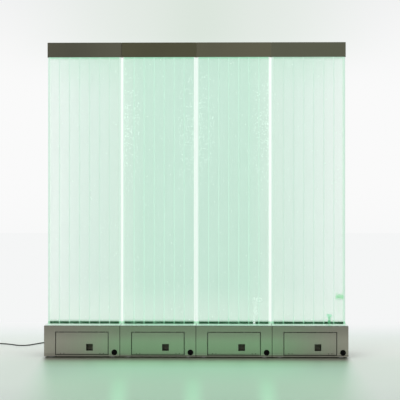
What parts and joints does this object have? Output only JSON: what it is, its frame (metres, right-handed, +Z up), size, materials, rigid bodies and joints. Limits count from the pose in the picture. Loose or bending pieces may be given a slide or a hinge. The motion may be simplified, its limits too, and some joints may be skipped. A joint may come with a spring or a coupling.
{
  "type": "bubble wall panel",
  "caption": "Free-standing lit water wall: clear tanks of tall bubbling channels on brushed steel bases with drop-down service hatches, under dark lift-off caps.",
  "frame": {"origin": "on the floor, at the middle of the wall's base", "axes": "+Z up, +X to the viewer's right along the wall, front towards -Y"},
  "size_m": [2.5948, 0.8494, 2.0885],
  "materials": {
    "brushed_steel": "brushed stainless sheet, fine upright grain, satin",
    "dark_steel": "dark bronze-grey brushed sheet, satin",
    "zinc_steel": "zinc-coated folded sheet, dull",
    "aluminium": "plain extruded aluminium",
    "clear_acrylic": "clear polished acrylic with a green edge",
    "black_plastic": "black moulded plastic",
    "grey_plastic": "dark grey moulded plastic",
    "grey_hose": "grey flexible hose",
    "black_rubber": "matt black rubber"
  },
  "bodies": {
    "wall": {"base_casing_1": "brushed_steel", "base_frame_1": "zinc_steel", "hinge_rail_1": "zinc_steel", "drain_hose_1": "grey_hose", "tank_1": "clear_acrylic", "air_bar_1": "black_plastic", "light_bar_1": "aluminium", "air_pump_1": "grey_plastic", "power_unit_1": "aluminium", "air_hose_1": "grey_hose", "base_casing_2": "brushed_steel", "base_frame_2": "zinc_steel", "hinge_rail_2": "zinc_steel", "drain_hose_2": "grey_hose", "tank_2": "clear_acrylic", "air_bar_2": "black_plastic", "light_bar_2": "aluminium", "air_pump_2": "grey_plastic", "power_unit_2": "aluminium", "air_hose_2": "grey_hose", "base_casing_3": "brushed_steel", "base_frame_3": "zinc_steel", "hinge_rail_3": "zinc_steel", "drain_hose_3": "grey_hose", "tank_3": "clear_acrylic", "air_bar_3": "black_plastic", "light_bar_3": "aluminium", "air_pump_3": "grey_plastic", "power_unit_3": "aluminium", "air_hose_3": "grey_hose", "base_casing_4": "brushed_steel", "base_frame_4": "zinc_steel", "hinge_rail_4": "zinc_steel", "drain_hose_4": "grey_hose", "tank_4": "clear_acrylic", "air_bar_4": "black_plastic", "light_bar_4": "aluminium", "air_pump_4": "grey_plastic", "power_unit_4": "aluminium", "air_hose_4": "grey_hose", "cord_gland": "black_rubber", "cord": "black_rubber", "cord_coil": "black_rubber", "mains_plug": "black_rubber"},
    "hatch_body_1": {"hatch_1": "brushed_steel", "hatch_pull_1": "black_plastic"},
    "cap_body_1": {"cap_1": "dark_steel"},
    "drain_plug_body_1": {"drain_plug_1": "black_rubber"},
    "hatch_body_2": {"hatch_2": "brushed_steel", "hatch_pull_2": "black_plastic"},
    "cap_body_2": {"cap_2": "dark_steel"},
    "drain_plug_body_2": {"drain_plug_2": "black_rubber"},
    "hatch_body_3": {"hatch_3": "brushed_steel", "hatch_pull_3": "black_plastic"},
    "cap_body_3": {"cap_3": "dark_steel"},
    "drain_plug_body_3": {"drain_plug_3": "black_rubber"},
    "hatch_body_4": {"hatch_4": "brushed_steel", "hatch_pull_4": "black_plastic"},
    "cap_body_4": {"cap_4": "dark_steel"},
    "drain_plug_body_4": {"drain_plug_4": "black_rubber"}
  },
  "joints": [
    {"name": "hatch_hinge_1", "type": "hinge", "parent": "wall", "child": "hatch_body_1", "pos_m": [-0.75, -0.174, 0.027], "axis": [1, 0, 0], "range_deg": [0, 90]},
    {"name": "cap_lift_1", "type": "slide", "parent": "wall", "child": "cap_body_1", "axis": [0, 0, 1], "range_m": [0, 0.12]},
    {"name": "drain_plug_pull_1", "type": "slide", "parent": "wall", "child": "drain_plug_body_1", "axis": [0, -1, 0], "range_m": [0, 0.05]},
    {"name": "hatch_hinge_2", "type": "hinge", "parent": "wall", "child": "hatch_body_2", "pos_m": [-0.25, -0.174, 0.027], "axis": [1, 0, 0], "range_deg": [0, 90]},
    {"name": "cap_lift_2", "type": "slide", "parent": "wall", "child": "cap_body_2", "axis": [0, 0, 1], "range_m": [0, 0.12]},
    {"name": "drain_plug_pull_2", "type": "slide", "parent": "wall", "child": "drain_plug_body_2", "axis": [0, -1, 0], "range_m": [0, 0.05]},
    {"name": "hatch_hinge_3", "type": "hinge", "parent": "wall", "child": "hatch_body_3", "pos_m": [0.25, -0.174, 0.027], "axis": [1, 0, 0], "range_deg": [0, 90]},
    {"name": "cap_lift_3", "type": "slide", "parent": "wall", "child": "cap_body_3", "axis": [0, 0, 1], "range_m": [0, 0.12]},
    {"name": "drain_plug_pull_3", "type": "slide", "parent": "wall", "child": "drain_plug_body_3", "axis": [0, -1, 0], "range_m": [0, 0.05]},
    {"name": "hatch_hinge_4", "type": "hinge", "parent": "wall", "child": "hatch_body_4", "pos_m": [0.75, -0.174, 0.027], "axis": [1, 0, 0], "range_deg": [0, 90]},
    {"name": "cap_lift_4", "type": "slide", "parent": "wall", "child": "cap_body_4", "axis": [0, 0, 1], "range_m": [0, 0.12]},
    {"name": "drain_plug_pull_4", "type": "slide", "parent": "wall", "child": "drain_plug_body_4", "axis": [0, -1, 0], "range_m": [0, 0.05]}
  ]
}
